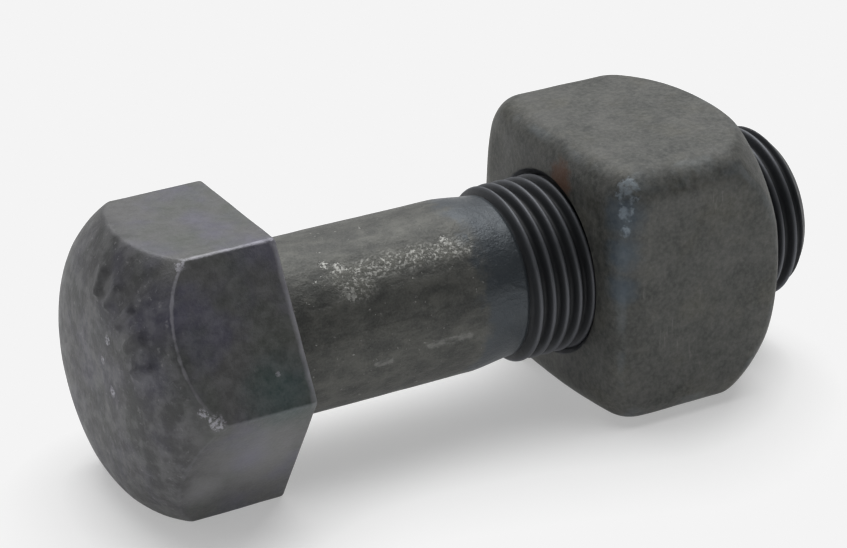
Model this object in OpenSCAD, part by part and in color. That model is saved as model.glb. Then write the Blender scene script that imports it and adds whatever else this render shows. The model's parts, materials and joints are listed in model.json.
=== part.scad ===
// Hex bolt with a square nut on its thread, lying on its flats.
// The bolt's axis is X, from the head's crown towards the threaded end.
// The origin is on that axis, in the plane of the head's bearing face.
// Lengths are in millimetres and +Z is up.

/* [Head] */
// Width of the hexagon across its flats
head_af = 28.575; // [24:0.025:36]
// Length of the hexagon's corner edges, from the bearing face to the crown
head_edge = 10.7; // [6:0.1:16]
// Height of the crown above the ends of the corner edges
crown_rise = 5.6; // [2:0.1:7]
// Radius of the crown's flat middle
crown_flat = 4.2; // [2:0.1:6]
// Radius of the fillet between head and shank
fillet_r = 1; // [0.5:0.1:1.5]

/* [Shank] */
// Diameter of the plain body
body_d = 18.4; // [14:0.1:23]
// Length of the plain body, from the bearing face to the neck
body_len = 23.8; // [10:0.1:30]
// Length of the neck, which tapers from the body to the thread
neck_len = 4.7; // [2:0.1:6]

/* [Thread] */
// Diameter over the thread's crests
thread_d = 19; // [16:0.1:23]
// Distance from one crest to the next
pitch = 1.5875; // [1:0.0125:2.5]
// Length of the bolt from the bearing face to the threaded end
bolt_len = 63.5; // [60:0.5:100]
// Radial depth of the chamfer at the threaded end
point_cut = 1.6; // [1:0.1:3]

/* [Nut] */
// Width of the square across its flats
nut_af = 28.575; // [24:0.025:36]
// Height of the nut along the bolt
nut_h = 20.4; // [12:0.1:26]
// Distance between the bearing faces of head and nut
grip = 35.6; // [35:0.1:60]
// Radius of the four long corners
nut_corner_r = 3.5; // [1:0.1:5]
// Radius of the rounding along the edges of the bearing face
nut_edge_r = 3.4; // [2:0.1:6]
// Diameter of the crown's flat face
nut_crown_d = 27.2; // [22:0.1:28]
// Slope of the crown, in degrees from its flat face
nut_slope = 45; // [10:1:50]
// Depth of the countersinks at both ends of the bore
mouth_depth = 0.8; // [0.2:0.1:1.5]
// Radial clearance between the bore and the thread's crests
bore_gap = 0.1; // [0.05:0.01:0.3]

/* [Hidden] */
$fn = 96;
// Radial depth of the rolled thread, and its crest and root, as shares of the pitch
THREAD_DEPTH = 0.6134;
CREST = 0.125;
ROOT = 0.25;
// Facets around one turn of the thread, and corners in its profile
SIDES = 24;
CORNERS = 4;
// Step from the thread's root up to the end of the neck
NECK_STEP = 0.12;
// Length over which the first crest rises
RUN_OUT = 1.3 * pitch;
// Shortest facet at either end of the thread
END_GAP = 0.2;
// Share of the bearing face's rounding that the face cuts away
EDGE_CUT = 0.16;
// Overlap where two shapes join into one solid
JOIN = 0.5;
LONG = 4 * max(head_af, nut_af);
head_corner_r = head_af / sqrt(3);
crown_top = -head_edge - crown_rise;
crown_w = head_corner_r - crown_flat;
crown_r = (pow(crown_w, 2) + pow(crown_rise, 2)) / (2 * crown_rise);
body_r = body_d / 2;
crest_r = thread_d / 2;
root_r = crest_r - THREAD_DEPTH * pitch;
neck_r = root_r + NECK_STEP;
point_r = crest_r - point_cut;
thread_x = body_len + neck_len;
bore_r = crest_r + bore_gap;

// Lays a shape that is built along Z down along X.
module along_x() {
    rotate([90, 0, 90]) children();
}

// A solid of revolution about X, from an outline of (radius, distance along X).
module turned(outline) {
    along_x() rotate_extrude() polygon(outline);
}

// Outline of the crown: flat in the middle, then an arc out to the corners.
module crown_outline() {
    intersection() {
        union() {
            translate([crown_flat, crown_top + crown_r]) circle(crown_r);
            translate([0, crown_top]) square([crown_flat, LONG]);
            translate([0, crown_top + crown_r]) square([crown_flat + crown_r, LONG]);
        }
        translate([0, -LONG]) square([LONG, 2 * LONG]);
    }
}

// The head: a hexagon with flats above and below, cut by the round crown.
module head() {
    along_x() intersection() {
        translate([0, 0, -LONG]) cylinder(h = LONG, r = head_corner_r, $fn = 6);
        rotate_extrude() crown_outline();
    }
}

// The fillet under the head.
module head_fillet() {
    along_x() rotate_extrude() difference() {
        translate([0, -JOIN]) square([body_r + fillet_r, JOIN + fillet_r]);
        translate([body_r + fillet_r, fillet_r]) circle(fillet_r);
    }
}

// The plain body and the neck, which tapers down to the thread.
module shank() {
    turned([
        [0, -JOIN],
        [body_r, -JOIN],
        [body_r, body_len],
        [neck_r, thread_x],
        [0, thread_x]
    ]);
}

// Radius at a distance along X: the profile's own, cut by run-out and chamfer.
function cut_radius(radius, x) =
    min(
        radius,
        root_r + (crest_r - root_r) * max(0, x - thread_x) / RUN_OUT,
        point_r + max(0, bolt_len - x)
    );

// Corners of the profile: radius, and place along the pitch.
PROFILE = [
    [root_r, 0],
    [root_r, ROOT],
    [crest_r, (1 + ROOT - CREST) / 2],
    [crest_r, (1 + ROOT + CREST) / 2]
];
ROWS = CORNERS * (2 + ceil((bolt_len - thread_x) / pitch));

// Distance along X of row k on the meridian j of the helix.
function row_x(j, k) =
    thread_x + pitch * (floor(k / CORNERS) - 1 + PROFILE[k % CORNERS][1] + j / SIDES);

// Index of the point for row k on meridian j: on either end ring beyond the ends.
function point_at(j, k) =
    j == SIDES ? point_at(0, k + CORNERS) :
    row_x(j, k) < thread_x + END_GAP ? j :
    row_x(j, k) > bolt_len - END_GAP ? SIDES + j :
    2 * SIDES + j * (ROWS + CORNERS + 1) + k;

// The triangles of a four-sided patch that do not collapse.
function patch(a, b, c, d) = concat(
    a == b || b == c ? [] : [[a, b, c]],
    c == d || d == a ? [] : [[a, c, d]]
);

// One point of a meridian.
function rim(x, radius, j) = [x, radius * cos(360 * j / SIDES), radius * sin(360 * j / SIDES)];

// The threaded end: a helical ridge and its core, as one closed solid.
module thread() {
    points = concat(
        [for (j = [0 : SIDES - 1]) rim(thread_x, root_r, j)],
        [for (j = [0 : SIDES - 1]) rim(bolt_len, point_r, j)],
        [
            for (j = [0 : SIDES - 1])
            for (k = [0 : ROWS + CORNERS])
            rim(row_x(j, k), cut_radius(PROFILE[k % CORNERS][0], row_x(j, k)), j)
        ]
    );
    faces = concat(
        [
            for (j = [0 : SIDES - 1])
            for (k = [0 : ROWS - 1])
            each patch(
                point_at(j, k),
                point_at(j, k + 1),
                point_at(j + 1, k + 1),
                point_at(j + 1, k)
            )
        ],
        [[for (j = [0 : SIDES - 1]) j]],
        [[for (j = [SIDES - 1 : -1 : 0]) SIDES + j]]
    );
    polyhedron(points, faces);
}

// The whole bolt, forged and rolled in one piece.
module bolt() {
    color("#45464a") union() {
        head();
        head_fillet();
        shank();
        thread();
    }
}

// A square with round corners.
module rounded_square(width, radius) {
    square([width, width - 2 * radius], center = true);
    square([width - 2 * radius, width], center = true);
    for (a = [0 : 90 : 270])
        rotate(a) translate([width / 2 - radius, width / 2 - radius]) circle(radius);
}

// Side outline of the nut: across it, and along it from its rounded bearing face.
module nut_side() {
    centre = nut_edge_r * (1 - EDGE_CUT);
    intersection() {
        union() {
            translate([-nut_af / 2, centre]) square([nut_af, nut_h - centre]);
            translate([nut_edge_r - nut_af / 2, 0]) square([nut_af - 2 * nut_edge_r, nut_h]);
            for (side = [-1, 1])
                translate([side * (nut_af / 2 - nut_edge_r), centre]) circle(nut_edge_r);
        }
        translate([-nut_af, 0]) square([2 * nut_af, nut_h]);
    }
}

// Outline of the solid of revolution that crowns the far side of the nut.
module nut_crown() {
    drop = (LONG - nut_crown_d / 2) * tan(nut_slope);
    polygon([
        [0, -LONG],
        [LONG, -LONG],
        [LONG, nut_h - drop],
        [nut_crown_d / 2, nut_h],
        [0, nut_h]
    ]);
}

// The nut's bore and the countersinks at its two ends.
module nut_bore() {
    mouth_r = bore_r + mouth_depth;
    turned([
        [0, -JOIN],
        [mouth_r + JOIN, -JOIN],
        [bore_r, mouth_depth],
        [bore_r, nut_h - mouth_depth],
        [mouth_r + JOIN, nut_h + JOIN],
        [0, nut_h + JOIN]
    ]);
}

// The square nut: rounded in all three directions, crowned and bored.
module square_nut() {
    color("#6b6a66") translate([grip, 0, 0]) difference() {
        intersection() {
            along_x() linear_extrude(nut_h) rounded_square(nut_af, nut_corner_r);
            along_x() translate([0, LONG / 2, 0]) rotate([90, 0, 0])
                linear_extrude(LONG) nut_side();
            along_x() rotate([0, 0, 90]) translate([0, LONG / 2, 0]) rotate([90, 0, 0])
                linear_extrude(LONG) nut_side();
            along_x() rotate_extrude() nut_crown();
        }
        nut_bore();
    }
}

bolt();
square_nut();
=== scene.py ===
"""A forged hex bolt with a crowned square nut on its thread, lying on a pale studio floor.

The CAD frame gives every size and place. Both forgings are meshed here in full: the head's
crown and trimmed flats, the scaly shank, the necked and rolled thread, the nut's rounded
block and its tapped bore. Lengths in the classes are in millimetres; meshes are in metres.
"""

import json
import logging
import math
from dataclasses import dataclass, field
from enum import Enum
from typing import Any

import bmesh
import bpy
import numpy as np
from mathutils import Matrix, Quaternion, Vector


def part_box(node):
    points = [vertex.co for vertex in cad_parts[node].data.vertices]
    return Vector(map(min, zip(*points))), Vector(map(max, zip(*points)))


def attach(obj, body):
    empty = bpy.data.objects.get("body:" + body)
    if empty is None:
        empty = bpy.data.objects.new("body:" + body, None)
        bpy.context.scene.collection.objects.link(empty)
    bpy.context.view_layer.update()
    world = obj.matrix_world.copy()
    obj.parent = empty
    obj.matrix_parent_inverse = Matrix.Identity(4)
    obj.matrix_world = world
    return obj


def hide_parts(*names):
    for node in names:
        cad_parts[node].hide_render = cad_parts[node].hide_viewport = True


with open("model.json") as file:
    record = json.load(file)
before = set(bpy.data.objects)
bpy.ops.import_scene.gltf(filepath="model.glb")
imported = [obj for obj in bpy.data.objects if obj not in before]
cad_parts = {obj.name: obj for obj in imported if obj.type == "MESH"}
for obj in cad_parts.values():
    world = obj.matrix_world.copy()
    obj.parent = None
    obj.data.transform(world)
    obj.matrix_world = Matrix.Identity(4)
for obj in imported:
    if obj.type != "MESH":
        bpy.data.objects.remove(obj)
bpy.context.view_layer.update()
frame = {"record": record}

LOG = logging.getLogger("bolt")
MM = 0.001
FULL_TURN = 2 * math.pi
Grid = np.ndarray

# A vertex that is this far from any sharp edge shows no wear, in millimetres.
FAR_FROM_EDGE = 9.0
# Vertices within this distance of a plane are on it, in millimetres.
RING_REACH = 0.0005
# Angles within this much of a full turn count as 0, in radians.
ANGLE_REACH = 1e-4
# Doubles closer than this are merged, in metres.
WELD = 2e-6


def linear(code: str, alpha: float = 1.0) -> tuple[float, float, float, float]:
    """Turns an sRGB hex colour into linear light.

    Args:
        code: The colour as "#rrggbb".
        alpha: The fourth channel, which stays as it is.

    Returns:
        Red, green, blue and alpha, in linear light.
    """
    channels = [int(code[i:i + 2], 16) / 255 for i in (1, 3, 5)]
    light = [c / 12.92 if c <= 0.04045 else ((c + 0.055) / 1.055) ** 2.4 for c in channels]
    return (light[0], light[1], light[2], alpha)


def add_node(tree: bpy.types.NodeTree, kind: str,
             settings: dict[Any, Any] | None = None) -> bpy.types.Node:
    """Adds a node to a tree, with its settings and links.

    Args:
        tree: The shader or geometry tree.
        kind: The node's type name.
        settings: Property names, input names or input numbers, each with its value. A value
            that is a socket, or a node, which stands for its first output, is linked.

    Returns:
        The new node.
    """
    node = tree.nodes.new(kind)
    for key, value in (settings or {}).items():
        if isinstance(key, str) and key in node.bl_rna.properties:
            setattr(node, key, value)
            continue
        if isinstance(key, int):
            socket = node.inputs[key]
        else:
            socket = next(s for s in node.inputs if s.name == key and s.enabled)
        if isinstance(value, bpy.types.Node):
            value = next(s for s in value.outputs if s.enabled)
        if isinstance(value, bpy.types.NodeSocket):
            tree.links.new(value, socket)
        else:
            socket.default_value = value
    return node


# --------------------------------------------------------------------------- sizes


@dataclass(frozen=True)
class Layout:
    """Sizes and places that the CAD frame fixes, in millimetres along and across the bolt."""

    crown_x: float
    end_x: float
    head_half: float
    seat_x: float
    far_x: float
    nut_half: float
    shank_r: float
    shank_len: float
    thread_r: float
    thread_len: float
    floor_z: float

    @classmethod
    def from_frame(cls, record: dict[str, Any]) -> "Layout":
        """Reads the sizes from the boxes of the CAD nodes and from the mounts.

        Args:
            record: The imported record.

        Returns:
            The layout of bolt and nut.
        """
        bolt_low, bolt_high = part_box("bolt")
        nut_low, nut_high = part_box("square_nut")
        dims = {m["name"]: m["dims"] for m in record["mounts"]}
        return cls(
            crown_x=bolt_low.x / MM,
            end_x=bolt_high.x / MM,
            head_half=bolt_high.z / MM,
            seat_x=nut_low.x / MM,
            far_x=nut_high.x / MM,
            nut_half=nut_high.z / MM,
            shank_r=dims["shank_grip"]["r_mm"],
            shank_len=dims["shank_grip"]["length_mm"],
            thread_r=dims["thread"]["r_mm"],
            thread_len=dims["thread"]["length_mm"],
            floor_z=bolt_low.z / MM,
        )

    @property
    def thread_x(self) -> float:
        """Where the neck ends and the thread starts."""
        return self.end_x - self.thread_len


@dataclass(frozen=True)
class ThreadForm:
    """The rolled thread: 16 to the inch, right-hand."""

    pitch: float = 25.4 / 16
    depth_share: float = 0.6134
    crest_place: float = 0.625
    clearance: float = 0.06
    columns: int = 144
    rows_per_pitch: int = 14

    @property
    def depth(self) -> float:
        """Radial depth from crest to root."""
        return self.depth_share * self.pitch


# --------------------------------------------------------------------------- mesh building


@dataclass(frozen=True)
class PolygonSection:
    """A regular polygon with rounded corners, seen along the bolt.

    Angles run from +Y towards +Z, and columns are the angles at which a skin has vertices.
    """

    sides: int
    first_flat: float
    flat_columns: int
    corner_columns: int

    @property
    def half_angle(self) -> float:
        """Half the angle that one side takes up."""
        return math.pi / self.sides

    def columns(self, half: float, corner_r: float) -> Grid:
        """Angles of the columns: close together towards and around the corners.

        Args:
            half: Half the width across flats.
            corner_r: Radius of the corners.

        Returns:
            The angles of one full turn, in rising order.
        """
        end = math.atan((half - corner_r) * math.tan(self.half_angle) / half)
        spread = -np.cos(np.linspace(0, math.pi, self.flat_columns)) * 0.6
        spread += np.linspace(-1, 1, self.flat_columns) * 0.4
        flat = np.arctan(math.tan(end) * spread)
        corner = np.linspace(end, 2 * self.half_angle - end, self.corner_columns + 2)[1:-1]
        side = np.concatenate([flat, corner])
        turns = [self.first_flat + 2 * self.half_angle * k + side for k in range(self.sides)]
        return np.sort(np.concatenate(turns) % FULL_TURN)

    def radius(self, angles: Grid, half: Grid | float, corner_r: Grid | float) -> Grid:
        """Distance from the axis to the outline at each angle.

        Args:
            angles: The columns' angles.
            half: Half the width across flats.
            corner_r: Radius of the corners.

        Returns:
            The radius in each column.
        """
        h = self.half_angle
        away = np.abs((angles - self.first_flat + h) % (2 * h) - h)
        half, corner_r = np.broadcast_arrays(half, corner_r)
        reach = (half - corner_r) / math.cos(h)
        tangent = np.arctan((half - corner_r) * math.tan(h) / half)
        lean = h - away
        under = np.maximum(corner_r**2 - (reach * np.sin(lean)) ** 2, 0)
        return np.where(away > tangent, reach * np.cos(lean) + np.sqrt(under), half / np.cos(away))

    def corner_distance(self, angles: Grid, radius: Grid) -> Grid:
        """Distance along the outline from each column to the nearest corner.

        Args:
            angles: The columns' angles.
            radius: The outline's radius in each column.

        Returns:
            The distances.
        """
        h = self.half_angle
        away = np.abs((angles - self.first_flat + h) % (2 * h) - h)
        return (h - away) * radius


@dataclass
class Skin:
    """Rows of vertices round the bolt's axis, which become one smooth surface."""

    angles: Grid
    points: list[Grid] = field(default_factory=list)
    zones: list[int] = field(default_factory=list)

    def add(self, rows: Grid, zone: int) -> None:
        """Adds rows of (distance along, radius) pairs.

        Args:
            rows: Array of row, column and the pair.
            zone: Number of the finish on the faces up to these rows.
        """
        for row in rows:
            self.points.append(row)
            self.zones.append(zone)

    def straight(self, start: Grid, end: Grid, steps: int, crowd: float = 0.8) -> Grid:
        """Rows along a straight line, without its two ends, crowded towards both of them.

        Args:
            start: The row at one end.
            end: The row at the other end.
            steps: Number of rows.
            crowd: How much they are crowded: 0 spaces them evenly.

        Returns:
            The rows.
        """
        t = np.linspace(0, 1, steps + 2)[1:-1]
        t = crowd * (1 - np.cos(math.pi * t)) / 2 + (1 - crowd) * t
        return start + (end - start) * t[:, None, None]

    def rounded(self, before: Grid, corner: Grid, after: Grid, steps: int) -> Grid:
        """Rows along the curve that rounds a corner off, with both its ends."""
        t = np.linspace(0, 1, steps)[:, None, None]
        return (1 - t) ** 2 * before + 2 * t * (1 - t) * corner + t**2 * after

    def pair(self, along: Grid | float, radius: Grid | float) -> Grid:
        """One row of (distance along, radius) pairs."""
        along, radius, _ = np.broadcast_arrays(along, radius, self.angles)
        return np.stack([along, radius], axis=-1)


@dataclass
class Shell:
    """Vertices and faces that are gathered into one closed mesh, in millimetres."""

    verts: list[tuple[float, float, float]] = field(default_factory=list)
    faces: list[tuple[int, ...]] = field(default_factory=list)
    zones: list[int] = field(default_factory=list)
    edge: list[float] = field(default_factory=list)
    forged: list[float] = field(default_factory=list)

    def add_skin(self, skin: Skin, edge: Grid, forged: Grid) -> tuple[list[int], list[int]]:
        """Adds a skin's vertices and faces.

        Args:
            skin: The rows.
            edge: Distance of each vertex to the nearest sharp edge.
            forged: How far each vertex takes part in the forging's unevenness, 0 to 1.

        Returns:
            The vertex numbers of the first and of the last row.
        """
        rows, columns = len(skin.points), len(skin.angles)
        first = len(self.verts)
        data = np.stack(skin.points)
        along, radius = data[..., 0], data[..., 1]
        xyz = np.stack([along, radius * np.cos(skin.angles), radius * np.sin(skin.angles)], axis=-1)
        self.verts += [tuple(v) for v in xyz.reshape(-1, 3).tolist()]
        self.edge += edge.ravel().tolist()
        self.forged += forged.ravel().tolist()
        for i in range(rows - 1):
            here, there = first + i * columns, first + (i + 1) * columns
            for j in range(columns):
                k = (j + 1) % columns
                self.faces.append((here + j, here + k, there + k, there + j))
                self.zones.append(skin.zones[i + 1])
        last = first + (rows - 1) * columns
        return list(range(first, first + columns)), list(range(last, last + columns))

    def add_pole(self, ring: list[int], along: float, zone: int) -> None:
        """Closes a ring with triangles to one point on the axis.

        Args:
            ring: The ring's vertex numbers, in rising angle.
            along: Place of the point along the axis.
            zone: Number of the finish on the triangles.
        """
        self.verts.append((along, 0.0, 0.0))
        self.edge.append(FAR_FROM_EDGE)
        self.forged.append(self.forged[ring[0]])
        tip = len(self.verts) - 1
        for a, b in zip(ring, ring[1:] + ring[:1]):
            self.faces.append((a, b, tip))
            self.zones.append(zone)

    def add_mesh(self, mesh: bpy.types.Mesh, zone: int) -> tuple[int, int]:
        """Adds a mesh that is already in metres.

        Args:
            mesh: The mesh.
            zone: Number of the finish on its faces.

        Returns:
            The range of its vertex numbers.
        """
        first = len(self.verts)
        self.verts += [tuple(v.co / MM) for v in mesh.vertices]
        self.edge += [FAR_FROM_EDGE] * len(mesh.vertices)
        self.forged += [0.0] * len(mesh.vertices)
        for polygon in mesh.polygons:
            self.faces.append(tuple(first + i for i in polygon.vertices))
            self.zones.append(zone)
        return first, len(self.verts)

    def ring_at(self, span: tuple[int, int], along: float) -> list[int]:
        """Vertices of a span that lie in one plane across the axis, in rising angle."""
        ring = [i for i in range(*span) if abs(self.verts[i][0] - along) < RING_REACH]
        return sorted(ring, key=self.angle)

    def angle(self, index: int) -> float:
        """Angle of a vertex round the axis, from 0 to a full turn."""
        _, y, z = self.verts[index]
        turn = math.atan2(z, y) % FULL_TURN
        return 0.0 if FULL_TURN - turn < ANGLE_REACH else turn

    def zip_rings(self, one: list[int], two: list[int], zone: int) -> None:
        """Joins two rings of any number of vertices with a band of triangles.

        Args:
            one: Vertex numbers of the first ring.
            two: Vertex numbers of the second ring.
            zone: Number of the finish on the band.
        """
        one, two = sorted(one, key=self.angle), sorted(two, key=self.angle)
        turn_one = [self.angle(i) for i in one] + [self.angle(one[0]) + FULL_TURN]
        turn_two = [self.angle(i) for i in two] + [self.angle(two[0]) + FULL_TURN]
        i = j = 0
        while i < len(one) or j < len(two):
            a, b = one[i % len(one)], two[j % len(two)]
            step_one = j == len(two) or (i < len(one) and turn_one[i + 1] <= turn_two[j + 1])
            if step_one:
                self.faces.append((a, one[(i + 1) % len(one)], b))
                i += 1
            else:
                self.faces.append((a, two[(j + 1) % len(two)], b))
                j += 1
            self.zones.append(zone)

    def build(self, name: str) -> bpy.types.Object:
        """Makes the object, with faces that point outwards and its attributes.

        Args:
            name: The object's name.

        Returns:
            The object, linked to the scene.
        """
        mesh = bpy.data.meshes.new(name)
        mesh.from_pydata([tuple(c * MM for c in v) for v in self.verts], [], self.faces)
        for label, values, kind, domain in (
            ("edge_mm", self.edge, "FLOAT", "POINT"),
            ("forged", self.forged, "FLOAT", "POINT"),
            ("zone", self.zones, "INT", "FACE"),
        ):
            mesh.attributes.new(label, kind, domain).data.foreach_set("value", values)
        work = bmesh.new()
        work.from_mesh(mesh)
        bmesh.ops.remove_doubles(work, verts=work.verts, dist=WELD)
        bmesh.ops.recalc_face_normals(work, faces=work.faces)
        open_edges = sum(1 for e in work.edges if not e.is_manifold)
        work.to_mesh(mesh)
        work.free()
        mesh.shade_smooth()
        obj = bpy.data.objects.new(name, mesh)
        bpy.context.scene.collection.objects.link(obj)
        LOG.info("%s: %d vertices, %d open edges", name, len(mesh.vertices), open_edges)
        return obj


# --------------------------------------------------------------------------- geometry nodes


class ThreadSide(Enum):
    """Which side of the metal a thread is on, and so how its end cuts limit it."""

    EXTERNAL = "MINIMUM"
    INTERNAL = "MAXIMUM"


@dataclass
class NodeTool:
    """A geometry node tree with named inputs, and the way to run it on an object."""

    tree: bpy.types.NodeTree
    inputs: dict[str, str] = field(default_factory=dict)

    @classmethod
    def new(cls, name: str, sockets: dict[str, str]) -> "NodeTool":
        """Makes a tree with named inputs.

        Args:
            name: The tree's name.
            sockets: Each input's name with its socket kind.

        Returns:
            The tool, with an empty tree.
        """
        tree = bpy.data.node_groups.new(name, "GeometryNodeTree")
        tool = cls(tree)
        tree.interface.new_socket("Geometry", in_out="INPUT", socket_type="NodeSocketGeometry")
        for label, kind in sockets.items():
            item = tree.interface.new_socket(label, in_out="INPUT", socket_type="NodeSocket" + kind)
            tool.inputs[label] = item.identifier
        tree.interface.new_socket("Geometry", in_out="OUTPUT", socket_type="NodeSocketGeometry")
        return tool

    def run(self, obj: bpy.types.Object, values: dict[str, Any]) -> bpy.types.Mesh:
        """Runs the tree on an object and removes the modifier again.

        Args:
            obj: The object.
            values: A value for each named input.

        Returns:
            The plain mesh that comes out.
        """
        modifier = obj.modifiers.new(self.tree.name, "NODES")
        modifier.node_group = self.tree
        for label, value in values.items():
            modifier[self.inputs[label]] = value
        bpy.context.view_layer.update()
        graph = bpy.context.evaluated_depsgraph_get()
        mesh = bpy.data.meshes.new_from_object(obj.evaluated_get(graph), depsgraph=graph)
        obj.modifiers.remove(modifier)
        return mesh


@dataclass
class ScrewSurface:
    """The surface of a thread: a ribbon one pitch wide that climbs round the axis."""

    side: ThreadSide
    form: ThreadForm

    LENGTHS = (
        "Crest Radius", "Root Radius", "Pitch", "Start", "End", "Clearance",
        "Limit Radius", "Start Radius", "End Radius",
    )
    NUMBERS = ("Crest Place", "Start Slope", "End Slope")

    def tree(self) -> NodeTool:
        """Builds the tree: grid, helix, profile, cuts at both ends, then the finish.

        Returns:
            The tree, ready to run.
        """
        sockets = {name: "Float" for name in self.LENGTHS + self.NUMBERS}
        sockets |= {"Turns": "Int", "Columns": "Int", "Rows": "Int", "Finish": "Material"}
        tool = NodeTool.new("screw_surface_" + self.side.name.lower(), sockets)
        tree = tool.tree
        given = add_node(tree, "NodeGroupInput").outputs

        def maths(operation: str, *terms: Any) -> bpy.types.Node:
            """One step of the formula."""
            settings = {"operation": operation} | dict(enumerate(terms))
            return add_node(tree, "ShaderNodeMath", settings)

        along = maths("MULTIPLY_ADD", given["Turns"], given["Columns"], 1)
        across = maths("ADD", given["Rows"], 1)
        grid = add_node(tree, "GeometryNodeMeshGrid", {
            "Size X": given["Turns"], "Size Y": 1, "Vertices X": along, "Vertices Y": across,
        })
        place = add_node(tree, "ShaderNodeSeparateXYZ", {
            "Vector": add_node(tree, "GeometryNodeInputPosition"),
        })
        turn = maths("ADD", place.outputs["X"], maths("DIVIDE", given["Turns"], 2))
        share = maths("ADD", place.outputs["Y"], 0.5)
        climb = maths("ADD", maths("SUBTRACT", maths("ADD", turn, share), 2), given["Crest Place"])
        free_x = maths("MULTIPLY_ADD", climb, given["Pitch"], given["Start"])
        x = add_node(tree, "ShaderNodeClamp", {
            "Value": free_x, "Min": given["Start"], "Max": given["End"],
        })
        # Share of the way from the root's flat to the crest's flat, rounded at both.
        off_crest = maths("ABSOLUTE", maths("SUBTRACT", share, 0.5))
        flank = {"Value": off_crest, "From Min": 0.375, "From Max": 0.0625, "To Min": 0, "To Max": 1}
        straight = add_node(tree, "ShaderNodeMapRange", flank)
        rounded = add_node(tree, "ShaderNodeMapRange", {"interpolation_type": "SMOOTHSTEP"} | flank)
        rise = maths("MULTIPLY", maths("ADD", straight, rounded), 0.5)
        depth = maths("SUBTRACT", given["Crest Radius"], given["Root Radius"])
        bare = maths("MULTIPLY_ADD", rise, depth, given["Root Radius"])
        profile = maths("ADD", bare, given["Clearance"])
        from_start = maths("SUBTRACT", x, given["Start"])
        from_end = maths("SUBTRACT", given["End"], x)
        start_cut = maths("MULTIPLY_ADD", from_start, given["Start Slope"], given["Start Radius"])
        end_cut = maths("MULTIPLY_ADD", from_end, given["End Slope"], given["End Radius"])
        radius = maths(self.side.value, profile, given["Limit Radius"])
        radius = maths(self.side.value, radius, start_cut)
        radius = maths(self.side.value, radius, end_cut)
        angle = maths("MULTIPLY", turn, FULL_TURN)
        moved = add_node(tree, "ShaderNodeCombineXYZ", {
            "X": x,
            "Y": maths("MULTIPLY", radius, maths("COSINE", angle)),
            "Z": maths("MULTIPLY", radius, maths("SINE", angle)),
        })
        helix = add_node(tree, "GeometryNodeSetPosition", {"Geometry": grid, "Position": moved})
        whole = add_node(tree, "GeometryNodeMergeByDistance", {
            "Geometry": helix, "Distance": WELD,
        })
        real = add_node(tree, "GeometryNodeRealizeInstances", {"Geometry": whole})
        dressed = add_node(tree, "GeometryNodeSetMaterial", {
            "Geometry": real, "Material": given["Finish"],
        })
        add_node(tree, "NodeGroupOutput", {"Geometry": dressed})
        return tool

    def mesh(self, start: float, end: float, crest: float, cuts: dict[str, float],
             finish: bpy.types.Material) -> bpy.types.Mesh:
        """Runs the tree.

        Args:
            start: Where the thread starts along the bolt.
            end: Where it ends.
            crest: Radius of the external thread's crests.
            cuts: Radius limit, and radius and slope of the cuts at start and end.
            finish: The material.

        Returns:
            The thread's surface, open at both ends.
        """
        form = self.form
        lengths = {
            "Crest Radius": crest,
            "Root Radius": crest - form.depth,
            "Pitch": form.pitch,
            "Start": start,
            "End": end,
        } | {name: value for name, value in cuts.items() if name in self.LENGTHS}
        slopes = {name: value for name, value in cuts.items() if name not in self.LENGTHS}
        empty = bpy.data.objects.new("thread_blank", bpy.data.meshes.new("thread_blank"))
        bpy.context.scene.collection.objects.link(empty)
        mesh = self.tree().run(
            empty,
            {name: value * MM for name, value in lengths.items()} | slopes | {
                "Turns": math.ceil((end - start) / form.pitch) + 3,
                "Columns": form.columns,
                "Rows": form.rows_per_pitch,
                "Finish": finish,
            },
        )
        bpy.data.objects.remove(empty)
        return mesh


@dataclass(frozen=True)
class GradeMarks:
    """A row of raised radial bars on the head's crown, like those that mark a bolt's strength.

    The first bar's angle and their pitch are in radians.
    """

    count: int = 5
    first: float = 1.5
    pitch: float = 0.27
    ring_r: float = 10.4
    length: float = 3.0
    width: float = 1.0
    height: float = 0.5


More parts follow.
